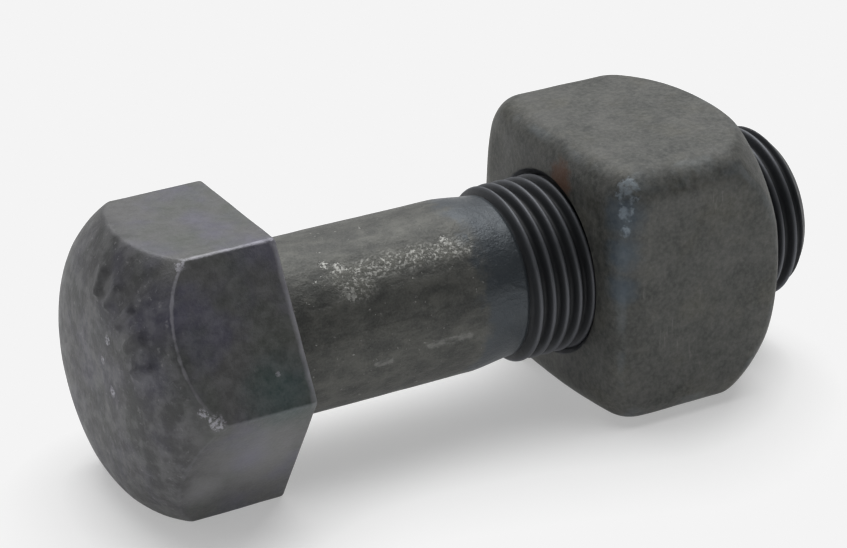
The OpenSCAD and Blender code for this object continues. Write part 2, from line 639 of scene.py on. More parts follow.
@dataclass
class ForgedSkin:
    """Gives a closed forging the slight unevenness of its dies, its marks and its finishes."""

    finishes: list[bpy.types.Material]
    marks: GradeMarks | None = None

    LENGTHS = ("Swell", "Swell Size", "Pits", "Pit Size", "Mark Radius", "Mark Length",
               "Mark Width", "Mark Height")

    def tree(self) -> NodeTool:
        """Builds the tree: swell, pits and raised marks, then a finish for each zone.

        Returns:
            The tree, ready to run.
        """
        sockets = {name: "Float" for name in self.LENGTHS}
        sockets |= {"Seed": "Float", "Mark Count": "Int", "Mark First": "Float", "Mark Pitch": "Float"}
        sockets |= {f"Finish {i}": "Material" for i in range(len(self.finishes))}
        tool = NodeTool.new("forged_skin", sockets)
        tree = tool.tree
        given = add_node(tree, "NodeGroupInput").outputs

        def maths(operation: str, *terms: Any) -> bpy.types.Node:
            """One step of a formula."""
            settings = {"operation": operation} | dict(enumerate(terms))
            return add_node(tree, "ShaderNodeMath", settings)

        place = add_node(tree, "GeometryNodeInputPosition")
        forged = add_node(tree, "GeometryNodeInputNamedAttribute", {
            "data_type": "FLOAT", "Name": "forged",
        })
        shift = maths("MULTIPLY", 0, 0)
        for amount, size, detail in (("Swell", "Swell Size", 1.5), ("Pits", "Pit Size", 3.0)):
            noise = add_node(tree, "ShaderNodeTexNoise", {
                "noise_dimensions": "4D",
                "Vector": place,
                "W": given["Seed"],
                "Scale": maths("DIVIDE", 1, given[size]),
                "Detail": detail,
            })
            shift = maths("MULTIPLY_ADD", maths("SUBTRACT", noise, 0.5), given[amount], shift)
        normal = add_node(tree, "GeometryNodeInputNormal")
        uneven = add_node(tree, "ShaderNodeVectorMath", {
            "operation": "SCALE", 0: normal, "Scale": maths("MULTIPLY", shift, forged),
        })
        share = self._mark_share(tree, given, place, maths)
        height = maths("MULTIPLY", share, maths("MULTIPLY", given["Mark Height"], -1))
        marked = add_node(tree, "ShaderNodeCombineXYZ", {"X": height})
        offset = add_node(tree, "ShaderNodeVectorMath", {"operation": "ADD", 0: uneven, 1: marked})
        noted = add_node(tree, "GeometryNodeStoreNamedAttribute", {
            "Geometry": given["Geometry"], "Name": "mark", "Value": share,
        })
        flow = add_node(tree, "GeometryNodeSetPosition", {"Geometry": noted, "Offset": offset})
        flow = add_node(tree, "GeometryNodeRealizeInstances", {"Geometry": flow})
        zone = add_node(tree, "GeometryNodeInputNamedAttribute", {"data_type": "INT", "Name": "zone"})
        for i in range(len(self.finishes)):
            here = add_node(tree, "FunctionNodeCompare", {
                "data_type": "INT", "operation": "EQUAL", "A": zone, "B": i,
            })
            flow = add_node(tree, "GeometryNodeSetMaterial", {
                "Geometry": flow, "Selection": here, "Material": given[f"Finish {i}"],
            })
        add_node(tree, "NodeGroupOutput", {"Geometry": flow})
        return tool

    def _mark_share(self, tree: bpy.types.NodeTree, given: Any, place: bpy.types.Node,
                    maths: Any) -> bpy.types.Node:
        """Share of their full height that the marks have: bars at even angles along an arc.

        Args:
            tree: The tree to add to.
            given: The tree's inputs.
            place: The vertex's position.
            maths: Adds one step of a formula.

        Returns:
            The share, from 0 to 1.
        """
        xyz = add_node(tree, "ShaderNodeSeparateXYZ", {"Vector": place})
        y, z = xyz.outputs["Y"], xyz.outputs["Z"]
        past_first = maths("SUBTRACT", maths("ARCTAN2", z, y), given["Mark First"])
        angle = maths("FLOORED_MODULO", past_first, FULL_TURN)
        pitch = given["Mark Pitch"]
        lean = maths("SUBTRACT", maths("FLOORED_MODULO", angle, pitch), maths("MULTIPLY", pitch, 0.5))
        share = maths("LESS_THAN", angle, maths("MULTIPLY", given["Mark Count"], pitch))
        reach = maths("SQRT", maths("ADD", maths("MULTIPLY", y, y), maths("MULTIPLY", z, z)))
        aside = maths("ABSOLUTE", maths("MULTIPLY", reach, maths("SINE", lean)))
        outward = maths("MULTIPLY", reach, maths("COSINE", lean))
        inward = maths("ABSOLUTE", maths("SUBTRACT", outward, given["Mark Radius"]))
        for distance, size in ((aside, "Mark Width"), (inward, "Mark Length")):
            half = maths("MULTIPLY", given[size], 0.5)
            inner = maths("SUBTRACT", half, maths("MULTIPLY", given["Mark Width"], 0.3))
            outer = maths("ADD", half, maths("MULTIPLY", given["Mark Width"], 0.2))
            edge = add_node(tree, "ShaderNodeMapRange", {
                "interpolation_type": "SMOOTHSTEP",
                "Value": distance, "From Min": outer, "From Max": inner, "To Min": 0, "To Max": 1,
            })
            share = maths("MULTIPLY", share, edge)
        facing = add_node(tree, "ShaderNodeSeparateXYZ", {
            "Vector": add_node(tree, "GeometryNodeInputNormal"),
        })
        faces_out = maths("LESS_THAN", facing.outputs["X"], -0.3)
        on_head = maths("LESS_THAN", xyz.outputs["X"], 0)
        return maths("MULTIPLY", share, maths("MULTIPLY", faces_out, on_head))

    def run(self, obj: bpy.types.Object, swell: float, pits: float, seed: float) -> bpy.types.Object:
        """Runs the tree on a forging and puts the result in its place.

        Args:
            obj: The closed forging.
            swell: Height of the slow unevenness.
            pits: Height of the fine unevenness.
            seed: Which unevenness.

        Returns:
            The same object with its new mesh.
        """
        marks = self.marks or GradeMarks(height=0.0)
        lengths = {
            "Swell": swell, "Swell Size": 9.0, "Pits": pits, "Pit Size": 1.7,
            "Mark Radius": marks.ring_r, "Mark Length": marks.length,
            "Mark Width": marks.width, "Mark Height": marks.height,
        }
        values = {name: value * MM for name, value in lengths.items()}
        values |= {
            "Seed": seed, "Mark Count": marks.count,
            "Mark First": marks.first, "Mark Pitch": marks.pitch,
        }
        values |= {f"Finish {i}": finish for i, finish in enumerate(self.finishes)}
        mesh = self.tree().run(obj, values)
        mesh.name = obj.name
        obj.data = mesh
        return obj


# --------------------------------------------------------------------------- finishes


@dataclass(frozen=True)
class Spot:
    """A small place of its own on a finish."""

    centre: tuple[float, float, float]
    radius: float


@dataclass(frozen=True)
class Streak:
    """A place of its own on a finish, drawn out along the bolt."""

    start_x: float
    end_x: float
    y: float
    z: float
    radius: float


@dataclass
class MetalTree:
    """A material's node tree, with coordinates in millimetres and the steps finishes share."""

    name: str

    def __post_init__(self) -> None:
        """Makes the empty material and its coordinates."""
        self.material = bpy.data.materials.new(self.name)
        self.material.use_nodes = True
        self.tree = self.material.node_tree
        self.tree.nodes.clear()
        source = self.put("ShaderNodeTexCoord")
        self.mm = self.put("ShaderNodeVectorMath", {
            "operation": "SCALE", 0: source.outputs["Object"], "Scale": 1 / MM,
        })
        self.edge = self.put("ShaderNodeAttribute", {"attribute_name": "edge_mm"}).outputs["Fac"]

    def put(self, kind: str, settings: dict[Any, Any] | None = None) -> bpy.types.Node:
        """Adds a node to this material."""
        return add_node(self.tree, kind, settings)

    def patches(self, size: float, low: float, high: float, detail: float = 4.0,
                stretch: tuple[float, float, float] = (1, 1, 1), start: float = 0.0) -> bpy.types.Node:
        """Soft-edged patches of noise.

        Args:
            size: Rough size of one patch.
            low: Noise value where a patch begins.
            high: Noise value where it is full.
            detail: Octaves of finer noise on its edges.
            stretch: How much longer than its size a patch is in X, Y and Z.
            start: Moves the pattern, so that two of them differ.

        Returns:
            The mask, from 0 to 1.
        """
        place = self.put("ShaderNodeMapping", {
            "Vector": self.mm,
            "Location": (start, start * 0.7, start * 1.3),
            "Scale": tuple(1 / (size * s) for s in stretch),
        })
        noise = self.put("ShaderNodeTexNoise", {
            "Vector": place, "Scale": 1.0, "Detail": detail, "Roughness": 0.6,
        })
        return self.put("ShaderNodeMapRange", {
            "interpolation_type": "SMOOTHSTEP", "Value": noise,
            "From Min": low, "From Max": high, "To Min": 0, "To Max": 1,
        })

    def spot(self, spot: Spot, ragged: float = 0.6) -> bpy.types.Node:
        """A ragged round mask about one point.

        Args:
            spot: Its centre and radius.
            ragged: How far noise moves its outline, as a share of its radius.

        Returns:
            The mask, from 0 to 1.
        """
        distance = self.put("ShaderNodeVectorMath", {
            "operation": "DISTANCE", 0: self.mm, 1: spot.centre,
        }).outputs["Value"]
        noise = self.put("ShaderNodeTexNoise", {
            "Vector": self.mm, "Scale": 2.6 / spot.radius, "Detail": 5.0, "Roughness": 0.7,
        })
        moved = self.put("ShaderNodeMath", {
            "operation": "MULTIPLY_ADD", 0: noise, 1: -2 * ragged * spot.radius, 2: distance,
        })
        return self.put("ShaderNodeMapRange", {
            "interpolation_type": "SMOOTHSTEP", "Value": moved,
            "From Min": spot.radius * (1 - ragged), "From Max": -0.2 * spot.radius,
            "To Min": 0, "To Max": 1,
        })

    def streak(self, streak: Streak, ragged: float = 0.5) -> bpy.types.Node:
        """A ragged mask about a line along the bolt.

        Args:
            streak: Its line and radius.
            ragged: How far noise moves its outline, as a share of its radius.

        Returns:
            The mask, from 0 to 1.
        """
        near_x = self.put("ShaderNodeClamp", {
            "Value": self.put("ShaderNodeSeparateXYZ", {"Vector": self.mm}),
            "Min": streak.start_x, "Max": streak.end_x,
        })
        nearest = self.put("ShaderNodeCombineXYZ", {"X": near_x, "Y": streak.y, "Z": streak.z})
        distance = self.put("ShaderNodeVectorMath", {
            "operation": "DISTANCE", 0: self.mm, 1: nearest,
        }).outputs["Value"]
        noise = self.put("ShaderNodeTexNoise", {
            "Vector": self.mm, "Scale": 1.4 / streak.radius, "Detail": 3.0,
        })
        moved = self.put("ShaderNodeMath", {
            "operation": "MULTIPLY_ADD", 0: noise, 1: -2 * ragged * streak.radius, 2: distance,
        })
        return self.put("ShaderNodeMapRange", {
            "interpolation_type": "SMOOTHSTEP", "Value": moved,
            "From Min": streak.radius * (1 - ragged), "From Max": -0.4 * streak.radius,
            "To Min": 0, "To Max": 1,
        })

    def most(self, masks: list[Any]) -> Any:
        """The greatest of several masks.

        Args:
            masks: At least one mask.

        Returns:
            The whole mask.
        """
        whole = masks[0]
        for mask in masks[1:]:
            whole = self.put("ShaderNodeMath", {"operation": "MAXIMUM", 0: whole, 1: mask})
        return whole

    def both(self, one: Any, two: Any) -> bpy.types.Node:
        """The product of two masks."""
        return self.put("ShaderNodeMath", {"operation": "MULTIPLY", 0: one, 1: two})

    def worn_edges(self, width: float, ragged: float, size: float = 1.5,
                   start: float = 0.0) -> bpy.types.Node:
        """Mask of the rubbed metal along sharp edges.

        Args:
            width: How far the wear reaches from an edge.
            ragged: How far noise moves that reach, in millimetres.
            size: Size of the noise.
            start: Moves the pattern.

        Returns:
            The mask, from 0 to 1.
        """
        place = self.put("ShaderNodeVectorMath", {
            "operation": "ADD", 0: self.mm, 1: (start, start, start),
        })
        noise = self.put("ShaderNodeTexNoise", {
            "Vector": place, "Scale": 1 / size, "Detail": 5.0, "Roughness": 0.65,
        })
        moved = self.put("ShaderNodeMath", {
            "operation": "MULTIPLY_ADD", 0: noise, 1: -2 * ragged, 2: self.edge,
        })
        return self.put("ShaderNodeMapRange", {
            "interpolation_type": "SMOOTHSTEP", "Value": moved,
            "From Min": width - ragged, "From Max": width * 0.3 - ragged, "To Min": 0, "To Max": 1,
        })

    def blend(self, mask: Any, under: Any, over: Any, most: float = 1.0) -> bpy.types.Node:
        """Lays one colour over another where a mask says, up to a greatest share."""
        share = self.put("ShaderNodeMath", {"operation": "MULTIPLY", 0: mask, 1: most})
        # Inputs 6 and 7 are the node's two colours.
        return self.put("ShaderNodeMix", {"data_type": "RGBA", 0: share, 6: under, 7: over})

    def relief(self, layers: list[tuple[Any, float]]) -> bpy.types.Node:
        """Bump from several height masks.

        Args:
            layers: Each mask with the height that it stands for, in millimetres.

        Returns:
            The bump node.
        """
        height: Any = 0.0
        for mask, size in layers:
            height = self.put("ShaderNodeMath", {
                "operation": "MULTIPLY_ADD", 0: mask, 1: size * MM, 2: height,
            })
        return self.put("ShaderNodeBump", {"Height": height, "Distance": 1.0, "Strength": 1.0})

    def finish(self, colour: Any, metallic: Any, roughness: Any, bump: Any) -> bpy.types.Material:
        """Ends the tree in a metal surface.

        Args:
            colour: Base colour.
            metallic: Share of bare metal.
            roughness: Roughness.
            bump: Normal.

        Returns:
            The finished material.
        """
        surface = self.put("ShaderNodeBsdfPrincipled", {
            "Base Color": colour, "Metallic": metallic, "Roughness": roughness, "Normal": bump,
        })
        self.put("ShaderNodeOutputMaterial", {"Surface": surface})
        return self.material


@dataclass(frozen=True)
class OilBlackenedSteel:
    """Hot-forged alloy steel, quenched and blackened in oil: the bolt's head.

    It gives the eye a satin, nearly black skin with cloudy purple and green casts, fine
    grain, and bright steel where handling has rubbed the upper edges through to the metal.
    """

    skin: str = "#545454"
    purple: str = "#54526a"
    green: str = "#42493f"
    teal: str = "#1f4645"
    pale: str = "#a2a2a4"
    soot_and_painted_shade: str = "#29292d"
    steel: str = "#c3c2ca"
    cloud: float = 7.0
    mottle: float = 1.1
    grain: float = 0.28
    crown_from: float = -11.0
    crown_to: float = -13.2
    front_from: float = -7.7
    front_to: float = -8.6
    seat_wear: float = 0.9
    nicks: tuple[Spot, ...] = ()
    bruises: tuple[Spot, ...] = ()
    tempered: tuple[Spot, ...] = ()
    bared_and_painted_light: tuple[Spot, ...] = ()

    def build(self) -> bpy.types.Material:
        """Builds the material.

        Returns:
            The material.
        """
        m = MetalTree("oil_blackened_forged_steel")
        xyz = m.put("ShaderNodeSeparateXYZ", {"Vector": m.mm})
        clouds = m.patches(self.cloud, 0.45, 0.7, detail=3)
        casts = m.patches(self.cloud * 0.8, 0.42, 0.7, detail=3, start=31)
        mottle = m.patches(self.mottle, 0.3, 0.75, detail=6, start=7)
        specks = m.patches(0.55, 0.6, 0.72, detail=4, start=19)
        grain = m.patches(self.grain, 0.2, 0.8, detail=3, start=3)
        colour = m.blend(clouds, linear(self.skin), linear(self.purple), 0.5)
        colour = m.blend(casts, colour, linear(self.green), 0.5)
        colour = m.blend(m.most([m.spot(spot, 0.3) for spot in self.bruises]), colour,
                         linear(self.purple), 0.75)
        colour = m.blend(m.most([m.spot(spot, 0.3) for spot in self.tempered]), colour,
                         linear(self.teal), 0.55)
        colour = m.blend(mottle, colour, linear(self.pale), 0.14)
        colour = m.blend(grain, colour, linear(self.pale), 0.08)
        # The crown is scaled and speckled; the trimmed flats are clean.
        on_crown = m.put("ShaderNodeMapRange", {
            "Value": xyz.outputs["X"], "From Min": self.crown_from, "From Max": self.crown_to,
            "To Min": 0, "To Max": 1,
        })
        speckled = m.both(specks, on_crown)
        # The crown's own scale darkens it here; this use of the colour is the metal's own.
        colour = m.blend(on_crown, colour, linear(self.soot_and_painted_shade), 0.5)
        scale = m.both(m.patches(1.9, 0.4, 0.66, detail=6, start=47), on_crown)
        colour = m.blend(scale, colour, linear(self.pale), 0.2)
        colour = m.blend(speckled, colour, linear(self.pale), 0.24)
        # Painted shade: the raised marks' sides are darkened, their tops less, standing in for the shade
        # along them.
        mark = m.put("ShaderNodeAttribute", {"attribute_name": "mark"}).outputs["Fac"]
        colour = m.blend(m.both(mark, m.put("ShaderNodeMapRange", {
            "Value": mark, "From Min": 0.95, "From Max": 0.4, "To Min": 0.15, "To Max": 1,
        })), colour, linear(self.soot_and_painted_shade), 0.8)
        # Painted light: pale patches on the head's lower front flat stand in for the light that the
        # floor throws up onto it.
        colour = m.blend(m.most([m.spot(spot, 0.3) for spot in self.bared_and_painted_light]), colour,
                         linear(self.pale), 0.3)
        # Handling has worn the upper, front edges of the head.
        upper = m.put("ShaderNodeMapRange", {
            "Value": xyz.outputs["Z"], "From Min": 1.0, "From Max": 9.0, "To Min": 0.12, "To Max": 1,
        })
        front = m.put("ShaderNodeMapRange", {
            "Value": xyz.outputs["Y"], "From Min": self.front_from, "From Max": self.front_to,
            "To Min": 0.06, "To Max": 1,
        })
        broken = m.patches(2.6, 0.26, 0.56, detail=4, start=61)
        worn = m.both(m.both(m.worn_edges(0.26, 0.25), m.both(upper, front)), broken)
        at_seat = m.both(
            m.put("ShaderNodeMapRange", {
                "Value": xyz.outputs["X"], "From Min": -self.seat_wear, "From Max": -0.6,
                "To Min": 0, "To Max": 1,
            }),
            m.put("ShaderNodeMapRange", {
                "Value": xyz.outputs["Z"], "From Min": -1.0, "From Max": 2.0, "To Min": 0, "To Max": 1,
            }))
        worn_seat = m.both(m.worn_edges(0.85, 0.3, start=5), m.both(at_seat, front))
        nicked = m.both(m.most([m.spot(nick, 0.9) for nick in self.nicks]),
                        m.patches(0.3, 0.4, 0.55, detail=3, start=83))
        worn = m.most([worn, worn_seat, nicked])
        colour = m.blend(worn, colour, linear(self.steel), 0.5)
        metallic = m.put("ShaderNodeMapRange", {"Value": worn, "To Min": 0.5, "To Max": 0.95})
        roughness = m.put("ShaderNodeMapRange", {"Value": mottle, "To Min": 0.5, "To Max": 0.62})
        bump = m.relief([(mottle, 0.03), (grain, 0.014), (speckled, 0.03)])
        return m.finish(colour, metallic, roughness, bump)


@dataclass(frozen=True)
class ScaledShank:
    """Forged bar with its mill scale on: the plain shank and the neck.

    It gives the eye a dull brown-grey skin, chipped to bright flecks along its upper side,
    that turns smooth and blue-grey where the thread rolling has burnished it.
    """

    skin: str = "#62625d"
    dark: str = "#3b3c3a"
    flake: str = "#c8c8c4"
    # Colour of the band where the scale is chipped to the metal.
    bared_and_painted_light: str = "#77776f"
    blue: str = "#3f464d"
    mottle: float = 1.4
    fleck: float = 0.36
    grain: float = 0.22
    burnish_from: float = 22.6
    burnish_to: float = 25.0
    chipped: tuple[Streak, ...] = ()
    chips: tuple[Spot, ...] = ()
    scrapes: tuple[Streak, ...] = ()

    def build(self) -> bpy.types.Material:
        """Builds the material.

        Returns:
            The material.
        """
        m = MetalTree("mill_scale_on_forged_bar")
        xyz = m.put("ShaderNodeSeparateXYZ", {"Vector": m.mm})
        mottle = m.patches(self.mottle, 0.32, 0.7, detail=6, stretch=(1.6, 1, 1))
        clouds = m.patches(5.0, 0.4, 0.65, detail=4, start=17)
        grain = m.patches(self.grain, 0.2, 0.8, detail=3, start=5)
        shade = m.patches(3.2, 0.4, 0.62, detail=4, start=29)
        shifted = m.put("ShaderNodeMath", {
            "operation": "MULTIPLY_ADD", 0: shade, 1: 1.6, 2: xyz.outputs["X"],
        })
        burnish = m.put("ShaderNodeMapRange", {
            "interpolation_type": "SMOOTHSTEP", "Value": shifted,
            "From Min": self.burnish_from, "From Max": self.burnish_to, "To Min": 0, "To Max": 1,
        })
        band = m.most([m.streak(streak) for streak in self.chipped])
        fine = m.patches(self.fleck, 0.46, 0.62, detail=5, start=11)
        flecks = m.both(band, fine)
        stray = m.both(m.patches(0.5, 0.66, 0.72, detail=3, start=13), m.patches(6, 0.45, 0.6, start=2))
        chipped = m.both(m.most([m.spot(chip, 0.9) for chip in self.chips]),
                         m.patches(0.3, 0.4, 0.55, detail=3, start=71))
        flecks = m.most([flecks, stray, chipped])
        scrapes = m.both(m.most([m.streak(streak, 0.7) for streak in self.scrapes]),
                         m.patches(0.7, 0.35, 0.6, detail=3, start=37, stretch=(2.5, 1, 1)))
        bare = m.put("ShaderNodeMath", {"operation": "SUBTRACT", 0: 1.0, 1: burnish})
        flecks = m.both(flecks, bare)
        colour = m.blend(mottle, linear(self.dark), linear(self.skin), 0.75)
        colour = m.blend(clouds, colour, linear(self.dark), 0.35)
        colour = m.blend(grain, colour, linear(self.flake), 0.07)
        colour = m.blend(band, colour, linear(self.bared_and_painted_light), 0.3)
        colour = m.blend(flecks, colour, linear(self.flake), 0.5)
        colour = m.blend(scrapes, colour, linear(self.flake), 0.2)
        colour = m.blend(burnish, colour, linear(self.blue), 0.8)
        metallic = m.put("ShaderNodeMapRange", {"Value": flecks, "To Min": 0.45, "To Max": 0.9})
        roughness = m.put("ShaderNodeMapRange", {"Value": burnish, "To Min": 0.56, "To Max": 0.42})
        bump = m.relief([(mottle, 0.05), (flecks, -0.04), (grain, 0.014), (scrapes, -0.04)])
        return m.finish(colour, metallic, roughness, bump)


@dataclass(frozen=True)
class RolledThread:
    """Thread rolled into the blackened bar.

    It gives the eye dark flanks, roots darkened as painted shade, and pale rubbed crests that also serve
    as a painted highlight.
    """

    crest_r: float
    root_r: float
    root: str = "#232528"
    flank: str = "#414347"
    crest: str = "#6c6e73"

    def build(self) -> bpy.types.Material:
        """Builds the material.

        Returns:
            The material.
        """
        m = MetalTree("rolled_thread_steel")
        xyz = m.put("ShaderNodeSeparateXYZ", {"Vector": m.mm})
        flat = m.put("ShaderNodeCombineXYZ", {"Y": xyz.outputs["Y"], "Z": xyz.outputs["Z"]})
        reach = m.put("ShaderNodeVectorMath", {"operation": "LENGTH", 0: flat}).outputs["Value"]
        height = m.put("ShaderNodeMapRange", {
            "Value": reach, "From Min": self.root_r, "From Max": self.crest_r,
            "To Min": 0, "To Max": 1,
        })
        grime = m.patches(0.9, 0.3, 0.7, detail=5)
        # Crests rubbed pale, which is real wear and also a painted highlight along them.
        rubbed_crest_and_painted_highlight = m.put("ShaderNodeMapRange", {
            "interpolation_type": "SMOOTHSTEP", "Value": height,
            "From Min": 0.6, "From Max": 0.99, "To Min": 0, "To Max": 1,
        })
        rubbed_crest_and_painted_highlight = m.both(rubbed_crest_and_painted_highlight, m.put("ShaderNodeMapRange", {"Value": grime, "To Min": 0.6, "To Max": 1.0}))
        # Painted shade: the colour darkens from the flanks down into the thread's roots.
        colour = m.blend(height, linear(self.root), linear(self.flank))
        colour = m.blend(rubbed_crest_and_painted_highlight, colour, linear(self.crest), 0.8)
        metallic = m.put("ShaderNodeMapRange", {"Value": rubbed_crest_and_painted_highlight, "To Min": 0.4, "To Max": 0.8})
        roughness = m.put("ShaderNodeMapRange", {"Value": grime, "To Min": 0.5, "To Max": 0.62})
        bump = m.relief([(grime, 0.008)])
        return m.finish(colour, metallic, roughness, bump)


@dataclass(frozen=True)
class TumbledForging:
    """Forged nut steel that was tumbled clean and left bare: the square nut.

    It gives the eye a matt grey-olive skin, mottled and scuffed with short scratches, softly
    rubbed corners, and a bloom of rust where water stands at the thread's mouth.
    """

    skin: str = "#4c4c4a"
    dark: str = "#2e302e"
    olive: str = "#545143"
    blue: str = "#3e5162"
    pale: str = "#8c8c87"
    steel: str = "#aab6c0"
    rust: str = "#5f3d28"
    scratch_colour: str = "#8c8c88"
    rust_spots: tuple[Spot, ...] = ()
    rubbed: tuple[Spot, ...] = ()
    blued: tuple[Spot, ...] = ()
    scuffs: tuple[Spot, ...] = ()

    def build(self) -> bpy.types.Material:
        """Builds the material.

        Returns:
            The material.
        """
        m = MetalTree("tumbled_forged_steel")
        clouds = m.patches(6.0, 0.36, 0.68, detail=4)
        olive = m.patches(5.0, 0.5, 0.72, detail=4, start=23)
        mottle = m.patches(1.2, 0.3, 0.74, detail=6, start=9)
        grain = m.patches(0.26, 0.2, 0.8, detail=3, start=4)
        colour = m.blend(clouds, linear(self.dark), linear(self.skin), 0.85)
        colour = m.blend(olive, colour, linear(self.olive), 0.35)
        fine = m.patches(0.5, 0.35, 0.68, detail=5, start=15)
        colour = m.blend(mottle, colour, linear(self.pale), 0.26)
        colour = m.blend(fine, colour, linear(self.pale), 0.2)
        colour = m.blend(grain, colour, linear(self.dark), 0.3)
        colour = m.blend(m.most([m.spot(spot, 0.4) for spot in self.blued]), colour,
                         linear(self.blue), 0.5)
        strokes = m.patches(0.3, 0.56, 0.66, detail=2, start=51, stretch=(1.2, 1.2, 9))
        scuffed = m.most([m.patches(4.5, 0.62, 0.72, detail=3, start=77)]
                         + [m.spot(spot, 0.4) for spot in self.scuffs])
        scratches = m.both(strokes, scuffed)
        colour = m.blend(scratches, colour, linear(self.scratch_colour), 0.28)
        worn = m.both(m.worn_edges(0.9, 0.5, size=2.4), m.patches(5.0, 0.4, 0.7, start=8))
        worn = m.put("ShaderNodeMath", {"operation": "MULTIPLY", 0: worn, 1: 0.3})
        rubbed = m.both(m.most([m.spot(spot, 0.9) for spot in self.rubbed]),
                        m.patches(0.8, 0.36, 0.6, detail=4, start=91))
        worn = m.most([worn, rubbed])
        colour = m.blend(worn, colour, linear(self.steel), 0.42)
        for spot in self.rust_spots:
            colour = m.blend(m.spot(spot), colour, linear(self.rust), 0.75)
        metallic = m.put("ShaderNodeMapRange", {"Value": worn, "To Min": 0.3, "To Max": 0.8})
        roughness = m.put("ShaderNodeMapRange", {"Value": mottle, "To Min": 0.54, "To Max": 0.66})
        bump = m.relief([(mottle, 0.03), (grain, 0.012), (scratches, -0.02)])
        return m.finish(colour, metallic, roughness, bump)


# --------------------------------------------------------------------------- the two forgings


@dataclass
class HexBolt:
    """The bolt: crowned hexagonal head, shank, neck, thread and chamfered end, in one forging."""

    layout: Layout
    form: ThreadForm
    head_edge: float = 10.6
    crown_power: float = 4.1
    crown_shift: tuple[float, float] = (0.3, -0.15)
    corner_trim: float = 0.35
    trim_from: float = 0.92
    corner_r: float = 0.55
    seat_bevel: float = 0.5
    crown_bevel: float = 0.32
    fillet_r: float = 1.0
    neck_step: float = 0.12
    run_out: float = 0.4
    neck_rows: int = 14
    shank_rows: int = 52
    crown_rows: int = 56
    point_cut: float = 1.6
    dish: float = 0.35
    section: PolygonSection = PolygonSection(
        sides=6, first_flat=math.pi / 2, flat_columns=26, corner_columns=7)

    HEAD, SHANK, THREAD = 0, 1, 2

    @property
    def crest_r(self) -> float:
        """Radius over the crests."""
        return self.layout.thread_r

    @property
    def root_r(self) -> float:
        """Radius at the thread's root."""
        return self.crest_r - self.form.depth

    def crown_at(self, angles: Grid, radius: Grid) -> Grid:
        """Place of the crown's surface along the bolt.

        Args:
            angles: Columns' angles.
            radius: Distance from the axis.

        Returns:
            Distance along X, rising away from the crown's middle.
        """
        corner = self.layout.head_half / math.cos(self.section.half_angle)
        rise = -self.layout.crown_x - self.head_edge
        y = radius * np.cos(angles) - self.crown_shift[0]
        z = radius * np.sin(angles) - self.crown_shift[1]
        share = np.hypot(y, z) / corner
        trimmed = np.maximum((share - self.trim_from) / (1 - self.trim_from), 0) ** 2
        return -self.head_edge - rise * (1 - share**self.crown_power) + self.corner_trim * trimmed

    def skin(self) -> Skin:
        """Rows from the end of the neck, along the shank and over the head to its middle.

        Returns:
            The skin, without its pole.
        """
        lay = self.layout
        angles = self.section.columns(lay.head_half, self.corner_r)
        skin = Skin(angles)
        neck_r = self.root_r + self.neck_step
        neck = np.linspace(1, 0, self.neck_rows)
        taper = 0.5 * neck + 0.5 * (3 * neck**2 - 2 * neck**3)
        neck_x = lay.shank_len + neck * (lay.thread_x - lay.shank_len)
        narrowed = lay.shank_r + taper * (neck_r - lay.shank_r)
        neck_rows = [skin.pair(x, radius) for x, radius in zip(neck_x, narrowed)]
        skin.add(np.stack(neck_rows), self.SHANK)
        shank_end = skin.pair(lay.shank_len, lay.shank_r)
        root = skin.pair(self.fillet_r, lay.shank_r)
        skin.add(skin.straight(shank_end, root, self.shank_rows, crowd=0.0), self.SHANK)
        fillet = [
            skin.pair(self.fillet_r * (1 - math.sin(bend)),
                      lay.shank_r + self.fillet_r * (1 - math.cos(bend)))
            for bend in np.linspace(0, math.pi / 2, 9)
        ]
        skin.add(np.stack(fillet), self.SHANK)
        outer = self.section.radius(angles, lay.head_half, self.corner_r)
        top = self.crown_at(angles, outer)
        seat = skin.pair(0.0, outer)
        bevel, lip = self.seat_bevel, self.crown_bevel
        seat_rim, flat_start = skin.pair(0.0, outer - bevel), skin.pair(-bevel, outer)
        skin.add(skin.straight(fillet[-1], seat_rim, 9), self.HEAD)
        skin.add(skin.rounded(seat_rim, seat, flat_start, 7), self.HEAD)
        inner = outer - lip
        flat_end, crown_rim = skin.pair(top + lip, outer), skin.pair(self.crown_at(angles, inner), inner)
        skin.add(skin.straight(flat_start, flat_end, 22), self.HEAD)
        skin.add(skin.rounded(flat_end, skin.pair(top, outer), crown_rim, 7), self.HEAD)
        for share in np.linspace(1, 0, self.crown_rows)[1:-1]:
            radius = inner * share
            skin.add(skin.pair(self.crown_at(angles, radius), radius)[None], self.HEAD)
        return skin

    def edge_distance(self, skin: Skin) -> Grid:
        """Distance of each vertex of the skin to the head's nearest sharp edge.

        Args:
            skin: The rows.

        Returns:
            The distances, row by row.
        """
        data = np.stack(skin.points)
        along, radius = data[..., 0], data[..., 1]
        outer = self.section.radius(skin.angles, self.layout.head_half, self.corner_r)
        top = self.crown_at(skin.angles, outer)
        from_seat = np.hypot(along, radius - outer)
        from_crown = np.hypot(along - top, radius - outer)
        aside = self.section.corner_distance(skin.angles, outer)
        past = np.maximum(top - along, 0) + np.maximum(along, 0)
        from_corner = np.hypot(aside, np.hypot(radius - outer, past))
        nearest = np.minimum(np.minimum(from_seat, from_crown), from_corner)
        return np.minimum(nearest, FAR_FROM_EDGE)

    def thread_mesh(self, finish: bpy.types.Material) -> bpy.types.Mesh:
        """The external thread, from the end of the neck to the chamfered end.

        Args:
            finish: The thread's material.

        Returns:
            The thread's surface, open at both ends.
        """
        run_out = self.run_out * self.form.pitch
        cuts = {
            "Clearance": 0.0,
            "Limit Radius": self.crest_r,
            "Start Radius": self.root_r,
            "Start Slope": self.form.depth / run_out,
            "End Radius": self.crest_r - self.point_cut,
            "End Slope": 1.0,
            "Crest Place": self.form.crest_place,
        }
        surface = ScrewSurface(ThreadSide.EXTERNAL, self.form)
        return surface.mesh(self.layout.thread_x, self.layout.end_x, self.crest_r, cuts, finish)

